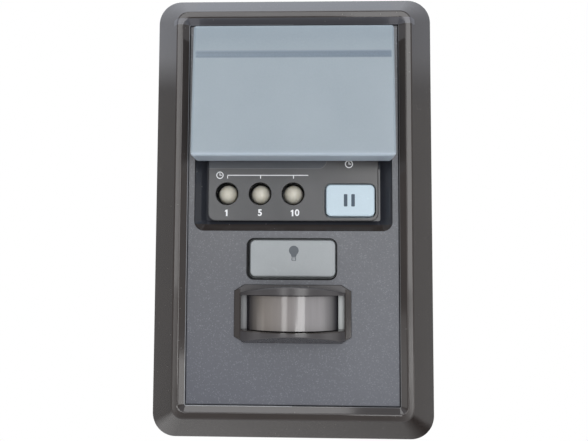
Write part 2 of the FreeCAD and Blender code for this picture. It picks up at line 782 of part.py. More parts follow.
def push_bar():
    """Wedge-shaped cap, open at the back, with two inner ribs and two hinge pegs."""
    profile = [
        (bar_bottom, bar_back_z),
        (bar_bottom, bar_bottom_z),
        (bar_top, bar_top_z),
        (bar_top, hinge_z),
        (bar_top - BAR_LIFT_CHAMFER, bar_back_z),
    ]
    shell = side_prism(profile, -bar_half_w, bar_half_w)
    shell = shell.makeFillet(BAR_FOOT_R, [e for e in shell.Edges if is_bar_foot_edge(e)])
    shell = shell.makeFillet(BAR_CORNER_R, [e for e in shell.Edges if is_bar_corner(e)])
    shell = shell.makeFillet(BAR_EDGE_R, [e for e in shell.Edges if is_bar_front_edge(e)])
    low = bar_bottom + BAR_WALL
    high = bar_top - BAR_WALL
    cavity = [
        (low, bar_back_z - OVERRUN),
        (low, bar_front_z(low) - BAR_WALL),
        (high, bar_front_z(high) - BAR_WALL),
        (high, bar_back_z - OVERRUN),
    ]
    hollow = side_prism(cavity, -bar_inner, bar_inner)
    relief = slab(-bar_inner, bar_inner, hinge_y, bar_top + OVERRUN, bar_back_z - OVERRUN, hinge_z)
    shell = shell.cut(hollow.fuse(relief))
    extras = []
    for drop in BAR_RIB_DROPS:
        y = bar_top - drop
        inner_z = bar_front_z(y) - BAR_WALL / 2
        rib_z = inner_z - BAR_WALL / 2 - BAR_RIB_DEPTH
        half_t = BAR_RIB_T / 2
        extras.append(slab(-bar_inner, bar_inner, y - half_t, y + half_t, rib_z, inner_z))
    for side in (-1, 1):
        start = Vector(side * (bar_inner + BAR_WALL / 2), hinge_y, hinge_z)
        length = bar_inner + BAR_WALL / 2 - ear_in
        extras.append(Part.makeCylinder(HINGE_PEG_R, length, start, Vector(-side, 0, 0)))
    return shell.fuse(extras).removeSplitter()


def is_bar_corner(edge):
    """True for the four edges that run from the bar's back to its front."""
    a, b = [v.Point for v in edge.Vertexes]
    on_side = abs(abs(a.x) - bar_half_w) < ON_PLANE and abs(a.x - b.x) < ON_PLANE
    return on_side and abs(a.y - b.y) < ON_PLANE


def is_bar_foot_edge(edge):
    """True for the long edge at the foot of the bar's front face."""
    return is_bar_front_edge(edge) and all(abs(v.Y - bar_bottom) < ON_PLANE for v in edge.Vertexes)


def is_bar_front_edge(edge):
    """True for the edges round the bar's leaning front face."""
    return all(abs(v.Z - bar_front_z(v.Y)) < ON_SLOPE for v in edge.Vertexes)


def hooks():
    """Places of the frame's four snap hooks, under its rails."""
    ys = (rail_bottom + HOOK_INSET_LOW, rail_step_y - HOOK_INSET_HIGH)
    return [(side * rail_mid, y) for side in (-1, 1) for y in ys]


def push_bar_frame():
    """U-shaped frame: two rails, a crossbar, hinge ears, guide hooks and a switch nub."""
    rail_top = bar_back_z - FRAME_REST_GAP
    crossbar_front = frame_bottom + CROSSBAR_T
    stem_low, stem_high = [hinge_y - drop for drop in EAR_STEM_DROPS]
    stem = [
        (stem_low, frame_bottom),
        (stem_high, frame_bottom),
        (stem_high, hinge_z),
        (hinge_y - EAR_R, hinge_z),
    ]
    solids = [slab(-rail_out, rail_out, crossbar_bottom, crossbar_top, frame_bottom, crossbar_front)]
    for side in (-1, 1):
        xs = sorted((side * rail_in, side * rail_out))
        solids.append(slab(*xs, rail_bottom, rail_step_y, frame_bottom, rail_top))
        solids.append(slab(*xs, rail_step_y, crossbar_top, frame_bottom, crossbar_front))
        solids.append(side_prism(stem, side * ear_in, side * ear_out))
        base = Vector(side * ear_in, hinge_y, hinge_z)
        solids.append(Part.makeCylinder(EAR_R, EAR_T, base, Vector(side, 0, 0)))
    solids.append(post(*door_switch_at, BUTTON_STEM_R, plunger_top, crossbar_front))
    head_top = floor_back - FRAME_REST_GAP
    head_end = head_top - HOOK_HEAD_H
    for x, y in hooks():
        solids.append(post(x, y, HOOK_R, head_end, frame_bottom + OVERRUN))
        solids.append(Part.makeCone(HOOK_R, HOOK_HEAD_R, HOOK_HEAD_H, Vector(x, y, head_end)))
    body = joined(solids)
    pin_end = well_floor - SPRING_CUP_DEPTH + TRAVEL + 2 * TRAVEL_SPARE
    pocket_low = frame_bottom - OVERRUN
    pocket_top = frame_bottom + SPRING_POCKET
    pockets = [post(x, y, spring_cup_r, pocket_low, pocket_top) for x, y in spring_at]
    pins = [post(x, y, SPRING_PIN_R, pin_end, crossbar_front) for x, y in spring_at]
    pivots = []
    for side in (-1, 1):
        start = Vector(side * (ear_in - OVERRUN), hinge_y, hinge_z)
        pivot_r = HINGE_PEG_R + HINGE_CLEAR
        pivots.append(Part.makeCylinder(pivot_r, EAR_T + 2 * OVERRUN, start, Vector(side, 0, 0)))
    return body.cut(pockets).fuse(pins).cut(pivots).removeSplitter()


def spring(x, y):
    """Coil spring between its cup in the well's floor and its pocket in the frame."""
    bottom = well_floor - SPRING_CUP_DEPTH + SPRING_WIRE_R
    top = frame_bottom + SPRING_POCKET - SPRING_WIRE_R
    helix = Part.makeHelix((top - bottom) / SPRING_TURNS, top - bottom, SPRING_R)
    section = []
    for i in range(SPRING_WIRE_SIDES + 1):
        angle = 2 * math.pi * i / SPRING_WIRE_SIDES
        across = SPRING_R + SPRING_WIRE_R * math.cos(angle)
        section.append(Vector(across, 0, SPRING_WIRE_R * math.sin(angle)))
    wire = Part.Wire(helix).makePipeShell([Part.makePolygon(section)], True, True)
    wire.translate(Vector(x, y, bottom))
    return wire


def push_bar_springs():
    return Part.Compound([spring(x, y) for x, y in spring_at])


def hood_pins():
    """Places of the hood's four fixing pins, with y taken from the sensor's middle."""
    dy = (HOOD_HALF_H + LENS_HALF_H + LENS_CLEAR) / 2
    return [(sx * HOOD_PIN_X, sy * dy) for sx in (-1, 1) for sy in (-1, 1)]


def sensor_hood():
    """Eight-sided gloss frame with two brows that follow the lens's curve."""
    base_z = panel_z + HOOD_BASE_PROUD
    base = prism(octagon(0), deck_z, base_z)
    low = [Vector(x, y, base_z) for x, y in octagon(0)]
    front = octagon(0, HOOD_SIDE_TAPER, HOOD_TOP_TAPER, HOOD_CHIN_TAPER)
    high = [Vector(x, y, brow_front_z) for x, y in front]
    rings = [Part.makePolygon(ring + ring[:1]) for ring in (low, high)]
    tower = Part.makeLoft(rings, True, True)
    round_start = Vector(0, sensor_y - HOOD_HALF_H - HOOD_CHIN, lens_axis_z)
    round_h = 2 * HOOD_HALF_H + HOOD_CHIN
    brow_round = Part.makeCylinder(brow_r, round_h, round_start, Vector(0, 1, 0))
    arch_y = sensor_y + HOOD_HALF_H - BROW_ARCH_DROP - BROW_ARCH_R
    brow_arch = post(0, arch_y, BROW_ARCH_R, base_z, brow_front_z + OVERRUN)
    body = base.fuse(tower.common(brow_round).common(brow_arch))
    half_h = LENS_HALF_H + LENS_CLEAR
    mouth = [
        (sensor_y - half_h, deck_z - OVERRUN),
        (sensor_y - half_h, panel_z),
        (sensor_y - half_h - BROW_FLARE, brow_front_z + OVERRUN),
        (sensor_y + half_h + BROW_FLARE, brow_front_z + OVERRUN),
        (sensor_y + half_h, panel_z),
        (sensor_y + half_h, deck_z - OVERRUN),
    ]
    pocket_w = LENS_FLANGE_HALF_W + LENS_CLEAR
    pocket_top = deck_z + LENS_FLANGE_T + LENS_CLEAR
    pocket = slab_at((0, sensor_y), pocket_w, half_h, deck_z - OVERRUN, pocket_top)
    body = body.cut([side_prism(mouth, -LENS_WINDOW_HALF_W, LENS_WINDOW_HALF_W), pocket])
    body = body.makeFillet(BROW_EDGE_R, [e for e in body.Edges if is_brow_edge(e)])
    pins = [post(x, sensor_y + dy, HOOD_PIN_R, deck_back, deck_z + OVERRUN) for x, dy in hood_pins()]
    return body.fuse(pins).removeSplitter()


def is_brow_edge(edge):
    """True for the outer edges of the brows' curved front."""
    middle = edge.valueAt((edge.FirstParameter + edge.LastParameter) / 2)
    spots = [v.Point for v in edge.Vertexes] + [middle]
    on_round = all(abs(math.hypot(p.x, p.z - lens_axis_z) - brow_r) < ON_SLOPE for p in spots)
    return on_round and abs(middle.y - sensor_y) > LENS_HALF_H + BROW_FLARE + BROW_EDGE_R


def motion_lens():
    """Curved window with upright flutes on its inner face and a flat flange each side."""
    axis_start = Vector(0, sensor_y - LENS_HALF_H, lens_axis_z)
    up = Vector(0, 1, 0)
    shell = Part.makeCylinder(LENS_R, 2 * LENS_HALF_H, axis_start, up)
    inner_r = LENS_R - LENS_T
    shell = shell.cut(Part.makeCylinder(inner_r, 2 * LENS_HALF_H, axis_start, up))
    front = slab_at((0, sensor_y), LENS_HALF_W, LENS_HALF_H, deck_z, lens_front_z + OVERRUN)
    shell = shell.common(front)
    flutes = []
    span = 2 * math.asin(VIEW_HALF_W / LENS_R)
    for i in range(LENS_FLUTES):
        angle = span * ((i + 0.5) / LENS_FLUTES - 0.5)
        x = inner_r * math.sin(angle)
        z = lens_axis_z + inner_r * math.cos(angle)
        start = Vector(x, sensor_y - LENS_HALF_H, z)
        flutes.append(Part.makeCylinder(LENS_FLUTE_DEPTH, 2 * LENS_HALF_H, start, up))
    shell = shell.cut(flutes)
    feet = []
    foot_w = (LENS_FLANGE_HALF_W - VIEW_HALF_W) / 2
    for side in (-1, 1):
        centre = (side * (VIEW_HALF_W + foot_w), sensor_y)
        feet.append(slab_at(centre, foot_w, LENS_HALF_H, deck_z, deck_z + LENS_FLANGE_T))
    return shell.fuse(feet).removeSplitter()


def motion_sensor():
    """Metal can of the heat sensor, with its small window, standing on the board."""
    can = post(0, sensor_y, EYE_R, board_top_z, board_top_z + EYE_H)
    can = rounded_top(can, board_top_z + EYE_H, EYE_FLANGE_T)
    rim = post(0, sensor_y, EYE_FLANGE_R, board_top_z, board_top_z + EYE_FLANGE_T)
    top = board_top_z + EYE_H
    half_w = EYE_WINDOW_W / 2
    half_h = EYE_WINDOW_H / 2
    window = slab_at((0, sensor_y), half_w, half_h, top - EYE_WINDOW_DEPTH, top + OVERRUN)
    return can.fuse(rim).cut(window).removeSplitter()


def circuit_board():
    half_w = board_half_w
    board = slab(-half_w, half_w, board_bottom, board_top, board_z, board_top_z, BOARD_CORNER_R)
    cutters = [post(x, y, SCREW_R + SCREW_CLEAR, 0, RIDGE_Z) for x, y in board_screw_at]
    cutters.append(post(0, fixing_y, screw_well_out + SCREW_WELL_CLEAR, 0, RIDGE_Z))
    terminal_hole_r = TERMINAL_SCREW_R + SCREW_CLEAR
    cutters += [post(x, terminal_y, terminal_hole_r, 0, RIDGE_Z) for x in terminals()]
    return board.cut(cutters)


def terminals():
    return (-TERMINAL_HALF_PITCH, TERMINAL_HALF_PITCH)


def terminal_plate(x):
    """Square plated washer plate against the back of the board."""
    front = board_z
    half = TERMINAL_PLATE_W / 2
    back = front - TERMINAL_PLATE_T
    plate = slab_at((x, terminal_y), half, half, back, front, TERMINAL_PLATE_CORNER_R)
    return plate.cut(post(x, terminal_y, TERMINAL_SCREW_R + SCREW_CLEAR, 0, RIDGE_Z))


def terminal_screw(x):
    """Slotted wire screw, put in from the back."""
    head_front = board_z - TERMINAL_PLATE_T
    head_back = head_front - TERMINAL_HEAD_H
    shank = post(x, terminal_y, TERMINAL_SCREW_R, head_back, head_back + TERMINAL_REACH)
    head = post(x, terminal_y, TERMINAL_HEAD_R, head_back, head_front)
    slot_half = TERMINAL_HEAD_R + OVERRUN
    slot_end = head_back + SCREW_SLOT_DEPTH
    slot = slab_at((x, terminal_y), slot_half, SCREW_SLOT_W / 2, head_back, slot_end)
    return shank.fuse(head).cut(slot).removeSplitter()


def tapping_screw(x, y, seat_z):
    """Pan-headed screw put in from the back, with its head under the seat."""
    shank = post(x, y, SCREW_R, seat_z, seat_z + SCREW_GRIP)
    head = post(x, y, SCREW_HEAD_R, seat_z - SCREW_HEAD_H, seat_z)
    back = seat_z - SCREW_HEAD_H
    across = slab_at((x, y), SCREW_CROSS_REACH, SCREW_SLOT_W / 2, back, back + SCREW_SLOT_DEPTH)
    along = slab_at((x, y), SCREW_SLOT_W / 2, SCREW_CROSS_REACH, back, back + SCREW_SLOT_DEPTH)
    return shank.fuse(head).cut([across, along]).removeSplitter()


def board_screws():
    return Part.Compound([tapping_screw(x, y, board_z) for x, y in board_screw_at])


def case_screws():
    seat = COVER_T + COVER_PAD_H - SCREW_HEAD_H
    return Part.Compound([tapping_screw(x, y, seat) for x, y in case_screw_at])


def wiring_window(grow, z0, z1):
    """Block the size of the wiring window, grown on every side."""
    half_w = WINDOW_HALF_W + grow
    r = WINDOW_CORNER_R + grow / 2
    return slab(-half_w, half_w, window_top - WINDOW_H - grow, window_top + grow, z0, z1, r)


def back_cover():
    """Rear plate with a keyhole, a screw hole, a wiring window, ribs and posts."""
    inset = CASE_WALL + COVER_CLEAR
    plate = Part.Face(case_outline(inset, CASE_CORNER_R - inset, 0)).extrude(Vector(0, 0, COVER_T))
    half_w = CASE_W / 2 - inset
    half_h = CASE_H / 2 - inset
    r = CASE_CORNER_R - inset
    rib_top = COVER_T + COVER_RIB_H
    lip = slab(-half_w, half_w, -half_h, half_h, COVER_T, rib_top, r)
    inner_w = half_w - COVER_RIB_T
    inner_h = half_h - COVER_RIB_T
    inside = slab(-inner_w, inner_w, -inner_h, inner_h, 0, rib_top + OVERRUN, r - COVER_RIB_T)
    solids = [lip.cut(inside)]
    solids += [post(x, y, COVER_PAD_R, 0, COVER_T + COVER_PAD_H) for x, y in case_screw_at]
    solids += [post(x, y, COVER_POST_R, 0, board_z) for x, y in cover_post_at]
    rib_half_h = half_h - COVER_RIB_END_GAP
    for side in (-1, 1):
        rib_at = (side * cover_post_x, 0)
        solids.append(slab_at(rib_at, COVER_RIB_T / 2, rib_half_h, COVER_T, rib_top))
    solids.append(wiring_window(COVER_RIB_T, 0, rib_top))
    key_y = -fixing_y
    key_ring_r = KEY_HEAD_R + COVER_RIB_T
    solids.append(post(0, key_y - KEY_DROP, key_ring_r, 0, rib_top))
    body = plate.fuse(solids)
    high = COVER_T + COVER_PAD_H + OVERRUN
    cutters = [
        post(0, fixing_y, TOP_HOLE_R, -OVERRUN, high),
        wiring_window(0, -OVERRUN, high),
        post(0, key_y - KEY_DROP, KEY_HEAD_R, -OVERRUN, high),
        slab(-KEY_SLOT_HALF_W, KEY_SLOT_HALF_W, key_y - KEY_DROP, key_y, -OVERRUN, high),
        post(0, key_y, KEY_SLOT_HALF_W, -OVERRUN, high),
    ]
    head_seat = COVER_T + COVER_PAD_H - SCREW_HEAD_H
    head_room = SCREW_HEAD_R + SCREW_HEAD_CLEAR
    cutters += [post(x, y, head_room, -OVERRUN, head_seat) for x, y in case_screw_at]
    cutters += [post(x, y, SCREW_R + SCREW_CLEAR, -OVERRUN, high) for x, y in case_screw_at]
    return body.cut(cutters).removeSplitter()


def microcontroller():
    """Flat square chip with a row of pins on each of its four sides."""
    x, y = chip_at
    body = slab_at(chip_at, CHIP_HALF, CHIP_HALF, board_top_z + SWITCH_LEG_T, board_top_z + CHIP_T)
    reach = CHIP_HALF + CHIP_PIN_REACH
    pins = []
    for i in range(CHIP_PINS):
        offset = (i - (CHIP_PINS - 1) / 2) * CHIP_PIN_PITCH
        pin_w = CHIP_PIN_W / 2
        pin_top = board_top_z + 2 * SWITCH_LEG_T
        pins.append(slab_at((x, y + offset), reach, pin_w, board_top_z, pin_top))
        pins.append(slab_at((x + offset, y), pin_w, reach, board_top_z, pin_top))
    return body.fuse(pins).removeSplitter()


def capacitor(x, y):
    """Upright can capacitor on its square base."""
    base_top = board_top_z + CAPACITOR_BASE_T
    base = slab_at((x, y), CAPACITOR_R, CAPACITOR_R, board_top_z, base_top, CAPACITOR_BASE_CORNER_R)
    can = post(x, y, CAPACITOR_R, board_top_z, board_top_z + CAPACITOR_H)
    can = rounded_top(can, board_top_z + CAPACITOR_H, CAPACITOR_EDGE_R)
    return base.fuse(can).removeSplitter()


def capacitors():
    return Part.Compound([capacitor(x, y) for x, y in capacitor_at])


def pieces():
    """Every piece of the control, by name."""
    made = {
        "front_housing": front_housing(),
        "face_panel": face_panel(),
        "timer_panel": timer_panel(),
        "push_bar": push_bar(),
        "push_bar_frame": push_bar_frame(),
        "push_bar_springs": push_bar_springs(),
        "light_button": light_button(),
        "hold_open_button": hold_open_button(),
        "timer_button": small_button(timer_at, TIMER_SIZE),
        "lock_button": small_button(lock_at, LOCK_SIZE),
        "learn_button": small_button(learn_at, LEARN_SIZE),
        "sensor_hood": sensor_hood(),
        "motion_lens": motion_lens(),
        "motion_sensor": motion_sensor(),
        "circuit_board": circuit_board(),
        "microcontroller": microcontroller(),
        "capacitors": capacitors(),
        "back_cover": back_cover(),
        "board_screws": board_screws(),
        "case_screws": case_screws(),
        "terminal_plates": Part.Compound([terminal_plate(x) for x in terminals()]),
        "terminal_screws": Part.Compound([terminal_screw(x) for x in terminals()]),
    }
    switches = {
        "door": door_switch_at,
        "light": light_at,
        "hold_open": hold_at,
        "timer": timer_at,
        "lock": lock_at,
        "learn": learn_at,
    }
    for name, centre in switches.items():
        made[name + "_switch"] = switch(centre)
        made[name + "_plunger"] = plunger(centre)
    for name, x in zip(("led_1_minute", "led_5_minutes", "led_10_minutes"), led_x):
        made[name] = led(x)
    return made


def main():
    os.makedirs("parts", exist_ok=True)
    for name, shape in pieces().items():
        turned = shape.copy()
        turned.rotate(Vector(0, 0, 0), Vector(1, 0, 0), 90)
        state = "valid" if turned.isValid() else "NOT VALID"
        print(name, state, len(turned.Solids), round(turned.Volume, 1))
        turned.exportStep("parts/" + name + ".step")


main()
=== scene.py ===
import json
import math

import bmesh
import bpy
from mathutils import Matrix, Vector


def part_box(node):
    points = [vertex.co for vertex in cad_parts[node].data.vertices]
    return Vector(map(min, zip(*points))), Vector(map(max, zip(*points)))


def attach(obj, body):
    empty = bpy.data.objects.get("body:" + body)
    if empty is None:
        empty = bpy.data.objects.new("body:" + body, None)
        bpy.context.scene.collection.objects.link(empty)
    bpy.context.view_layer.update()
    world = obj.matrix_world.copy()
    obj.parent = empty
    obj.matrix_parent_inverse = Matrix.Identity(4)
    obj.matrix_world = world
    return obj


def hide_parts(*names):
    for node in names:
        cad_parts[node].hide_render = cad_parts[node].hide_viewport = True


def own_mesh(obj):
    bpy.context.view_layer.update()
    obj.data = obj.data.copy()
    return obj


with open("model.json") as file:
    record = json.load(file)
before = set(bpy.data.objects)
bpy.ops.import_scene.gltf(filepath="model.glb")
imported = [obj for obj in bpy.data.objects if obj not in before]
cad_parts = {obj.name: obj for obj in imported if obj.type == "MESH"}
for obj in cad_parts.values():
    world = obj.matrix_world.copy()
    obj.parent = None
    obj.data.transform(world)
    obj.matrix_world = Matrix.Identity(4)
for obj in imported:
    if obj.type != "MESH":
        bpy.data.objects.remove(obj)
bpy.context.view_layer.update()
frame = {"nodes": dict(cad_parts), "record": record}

MM = 0.001


def middle(box):
    """Middle x, y, z between a box's two corners, in millimetres."""
    return [(low + high) / 2 / MM for low, high in zip(*box)]


# Shader maths

class Field:
    """A shader socket that takes part in Python expressions."""

    def __init__(self, paint, socket):
        self.paint = paint
        self.socket = socket

    def maths(self, operation, *values):
        return self.paint.node("Math", {"operation": operation}, *values)

    def __add__(self, other):
        return self.maths("ADD", self, other)

    def __radd__(self, other):
        return self.maths("ADD", other, self)

    def __sub__(self, other):
        return self.maths("SUBTRACT", self, other)

    def __rsub__(self, other):
        return self.maths("SUBTRACT", other, self)

    def __mul__(self, other):
        return self.maths("MULTIPLY", self, other)

    def __rmul__(self, other):
        return self.maths("MULTIPLY", other, self)

    def __truediv__(self, other):
        return self.maths("DIVIDE", self, other)

    def __rtruediv__(self, other):
        return self.maths("DIVIDE", other, self)

    def __abs__(self):
        return self.maths("ABSOLUTE", self)

    def __gt__(self, other):
        return self.maths("GREATER_THAN", self, other)

    def __lt__(self, other):
        return self.maths("LESS_THAN", self, other)

    def at_least(self, low):
        return self.maths("MAXIMUM", self, low)

    def clamp(self):
        return self.paint.node("Clamp", {}, self, 0.0, 1.0)

    def between(self, low, high):
        """1 between two limits, 0 elsewhere."""
        return (self > low) * (self < high)

    def step(self, start, end):
        """Runs from 0 at start to 1 at end."""
        return ((self - start) / (end - start)).clamp()


class Paint:
    """One material, its surface shader and the means to add nodes to it."""

    def __init__(self, name, tree=None, **constants):
        self.material = tree or bpy.data.materials.new(name)
        self.material.use_nodes = True
        self.nodes = self.material.node_tree.nodes
        self.links = self.material.node_tree.links
        self.surface = self.nodes.get("Principled BSDF")
        for key, value in constants.items():
            self.set(key.replace("_", " "), value)

    def node(self, kind, settings, *values, output=0, **named):
        made = self.nodes.new("ShaderNode" + kind)
        for key, value in settings.items():
            setattr(made, key, value)
        inputs = [s for s in made.inputs if s.enabled]
        for socket, value in zip(inputs, values):
            self.feed(socket, value)
        for key, value in named.items():
            wanted = key.replace("_", " ")
            self.feed(next(s for s in inputs if s.name == wanted), value)
        outputs = [s for s in made.outputs if s.enabled]
        if isinstance(output, str):
            return Field(self, next(s for s in outputs if s.name == output))
        return Field(self, outputs[output])

    def feed(self, socket, value):
        if isinstance(value, Field):
            self.links.new(value.socket, socket)
        elif isinstance(value, tuple) and socket.type == "RGBA":
            socket.default_value = (*value, 1.0)
        else:
            socket.default_value = value

    def set(self, name, value):
        """Feeds one of the surface shader's own sockets."""
        self.feed(self.surface.inputs[name], value)

    def place(self):
        """Place on the control, in millimetres: X across, Y into the wall, Z up."""
        spot = self.node("TexCoord", {}, output="Object")
        return self.node("VectorMath", {"operation": "SCALE"}, spot, Scale=1 / MM)

    def stretched(self, place, x, y, z):
        return self.node("VectorMath", {"operation": "MULTIPLY"}, place, (x, y, z))

    def axis(self, place, name):
        return self.node("SeparateXYZ", {}, place, output=name)

    def noise(self, place, size, detail=2.0):
        """Cloudy noise from 0 to 1 whose blots are about size millimetres across."""
        return self.node("TexNoise", {}, place, Scale=1.0 / size, Detail=detail)

    def cells(self, place, size, output="Distance"):
        return self.node("TexVoronoi", {}, place, Scale=1.0 / size, output=output)

    def cell_shade(self, place, size, channel="Red"):
        """One random value from 0 to 1 for each cell."""
        return self.node("SeparateColor", {}, self.cells(place, size, "Color"), output=channel)

    def distance(self, x, y):
        """Length of the vector x, y."""
        vector = self.node("CombineXYZ", {}, x, y, 0.0)
        return self.node("VectorMath", {"operation": "LENGTH"}, vector, output="Value")

    def blend(self, factor, a, b):
        settings = {"data_type": "RGBA", "clamp_factor": True}
        return self.node("Mix", settings, factor, a, b)

    def bump(self, height, strength, depth):
        """Feeds the normal with a relief whose full height is depth millimetres."""
        relief = self.node("Bump", {}, Strength=strength, Distance=depth * MM, Height=height)
        self.set("Normal", relief)


def srgb(red, green, blue):
    """Colour picked on a screen, 0 to 255, as light."""
    def one(value):
        share = value / 255
        return share / 12.92 if share <= 0.04045 else ((share + 0.055) / 1.055) ** 2.4
    return (one(red), one(green), one(blue))


def shade(tone, factor):
    """A screen colour made darker or lighter before it becomes light."""
    return srgb(*[min(255, factor * value) for value in tone])


# Finishes. Places and sizes on the control are in millimetres.

# Casing: the well of the push bar, the hood with its arched brows, the bevel, and the
# brink round the face panel, which carry painted reflections and a painted highlight
DECK_Y = -17.0
WELL_HALF_W = 28.6
WELL_FOOT_Z = -3.4
HOOD_HALF_W = 17.0
HOOD_HALF_H = 11.0
ARCH_HALF_W = 14.6
BROW_INNER = 4.8
BROW_OUTER = 6.9
BEVEL_W = 1.75
BRINK_FRONT = 0.7
BRINK_BACK = 0.6
BRINK_OUT = 0.3
BRINK_IN = 0.5

# Face panel: how its tone changes, with painted light towards the right, its dark inner
# body, and the painted shadow round the light button's hole
FACE_TOP_TO_FOOT = (10.0, -60.0)
FACE_LEFT_TO_RIGHT = (-30.0, 30.0)
FACE_CORE_Y = -16.6
LIGHT_HOLE_HALF = (12.75, 5.9)
LIGHT_HOLE_SHIFT = (-0.3, -0.14)
LIGHT_HOLE_R = 2.2

# Timer panel: where it darkens to the right, and the bracket line in its print
TIMER_SHADE = (5.0, 24.0)
BRACKET_X = 7.2
BRACKET_Z = 15.0
BRACKET_R = 2.5
BRACKET_LINE = 0.18

# Push bar: its darker top, the painted shade of the inner band and its two ribs, and the
# painted highlight on the lip at the foot
BAR_TOP_SHADE = (42.0, 48.0)
BAR_INSIDE = (26.6, 27.2)
BAND_FOOT = (41.8, 42.2)
BAND_TOP = (43.6, 44.2)
BAR_RIBS_Z = (42.2, 43.35)
BAR_RIB_W = 0.35
FOOT_LIP_Z = 15.2
FOOT_LIP_H = 0.5

# Lens: where its tone changes, where its ends are painted dark as shade, and where its two
# feet begin
LENS_TONE = (-9.0, 5.0)
LENS_END_SHADE = (8.0, 12.4)
LENS_FOOT_X = 12.75


def edge_painted_light(side, deep, height):
    """Strength of two painted lights: a painted highlight on the casing's thin edge round
    the face panel, which is weaker on the right, and a painted reflection on the bevel
    over the push bar."""
    low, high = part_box("face_panel")
    half_w, half_h, panel_y = high.x / MM, high.z / MM, low.y / MM
    across, up = abs(side), abs(height)
    within = (across < half_w + BRINK_OUT) * (up < half_h + BRINK_OUT)
    edge = (across > half_w - BRINK_IN).at_least(up > half_h - BRINK_IN)
    brink = deep.between(panel_y - BRINK_FRONT, panel_y + BRINK_BACK) * within * edge
    over_bar = (deep < panel_y) * height.between(half_h, half_h + BEVEL_W)
    return brink * (0.35 + (side < 0.0) * 0.55), over_bar


def casing_paint(name, tone, rough):
    """Moulded gloss plastic: soft flow clouds, fine grain and a few specks of dust.

    It is painted cooler in the well of the push bar and paler on the hood and on the bevel
    over the push bar as painted reflections, and paler on the brink round the face panel
    as a painted highlight.
    """
    paint = Paint(name, IOR=1.5)
    place = paint.place()
    clouds = paint.noise(place, 14.0, 3.0)
    grain = paint.noise(place, 0.35)
    specks = (paint.cells(place, 1.9) < 0.07) * (paint.noise(place, 6.0) > 0.5)
    dark = tuple(value * 0.82 for value in srgb(*tone))
    light = tuple(value * 1.22 for value in srgb(*tone))
    body = paint.blend(clouds, dark, light)
    body = paint.blend(grain * 0.25, body, srgb(58, 52, 49))

    side = paint.axis(place, "X")
    across = abs(side)
    deep = paint.axis(place, "Y")
    height = paint.axis(place, "Z")
    # Painted reflection: the well of the push bar is tinted cooler, like the blue bar mirrored
    # in it.
    well = (deep > DECK_Y) * (across < WELL_HALF_W) * (height > WELL_FOOT_Z)
    body = paint.blend(well * 0.8, body, srgb(45, 49, 57))

    # Painted reflection: the hood is painted paler, and its brows paler still.
    from_middle = abs(height - middle(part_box("sensor_hood"))[2])
    hood = (deep < DECK_Y) * (across < HOOD_HALF_W) * (from_middle < HOOD_HALF_H)
    body = paint.blend(hood * 0.3, body, srgb(70, 68, 68))
    outer = from_middle > BROW_OUTER
    brows = hood * (from_middle > BROW_INNER) * (across < ARCH_HALF_W).at_least(outer)
    body = paint.blend(brows * (0.24 + outer * 0.06), body, srgb(98, 98, 103))

    # Painted highlight on the brink round the face panel, and painted reflection on the bevel
    # over the push bar.
    brink, over_bar = edge_painted_light(side, deep, height)
    body = paint.blend(brink, body, srgb(150, 152, 156))
    body = paint.blend(over_bar * 0.6, body, srgb(104, 105, 112))
    paint.set("Base Color", paint.blend(specks * 0.35, body, srgb(150, 146, 140)))

    streaks = paint.noise(paint.stretched(place, 0.25, 1.0, 2.2), 2.2, 3.0)
    wear = clouds * 0.03 + streaks * 0.04 + specks * 0.3
    paint.set("Roughness", rough + wear + hood * 0.03 + brows * 0.15)
    paint.bump(paint.noise(place, 1.6, 1.0) * 0.7 + specks * 0.3, 0.05, 0.02)
    return paint


def light_hole_shadow(paint, place):
    """1 on a painted shadow that darkens a band round the light button's hole, wider on the
    left.
    """
    x, _, z = middle(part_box("light_button"))
    past = []
    for axis, centre, shift, half in zip("XZ", (x, z), LIGHT_HOLE_SHIFT, LIGHT_HOLE_HALF):
        away = abs(paint.axis(place, axis) - (centre + shift))
        past.append((away - (half - LIGHT_HOLE_R)).at_least(0.0))
    return paint.distance(*past) < LIGHT_HOLE_R


def face_paint():
    """Metallic lacquer with fine flakes, bluer towards the foot, and painted lighter towards
    the right, where the light falls stronger.

    Its dark inner body shows at the cut edges, and a painted shadow darkens a band round
    the light button's hole.
    """
    paint = Paint("face_metallic", IOR=1.5)
    place = paint.place()
    flake = paint.cell_shade(place, 0.16)
    glint = paint.cell_shade(place, 0.2, "Green") > 0.94
    clouds = paint.noise(place, 11.0)
    foot = paint.axis(place, "Z").step(*FACE_TOP_TO_FOOT)
    side = paint.axis(place, "X").step(*FACE_LEFT_TO_RIGHT)
    body = paint.blend(foot, srgb(106, 106, 107), srgb(88, 90, 100))
    # Painted light: the face is painted lighter towards the right, where the light falls
    # stronger.
    body = paint.blend(side * 0.4, body, srgb(114, 116, 120))
    body = paint.blend(clouds * 0.3, body, srgb(92, 94, 99))
    body = paint.blend(flake * 0.35, body, srgb(84, 86, 91))
    body = paint.blend(glint * 0.3, body, srgb(156, 159, 166))
    # The dark inner body at the cut edges, and a painted shadow band round the light button's
    # hole.
    core_and_gap_shadow = (paint.axis(place, "Y") > FACE_CORE_Y).at_least(light_hole_shadow(paint, place))
    paint.set("Base Color", paint.blend(core_and_gap_shadow, body, srgb(10, 10, 12)))
    paint.set("Metallic", (0.25 + glint * 0.3) * (1.0 - core_and_gap_shadow))
    paint.set("Roughness", 0.4 + flake * 0.12 + clouds * 0.08 + core_and_gap_shadow * 0.4)
    paint.bump(flake * 0.6 + paint.noise(place, 0.5) * 0.4, 0.14, 0.02)
    return paint


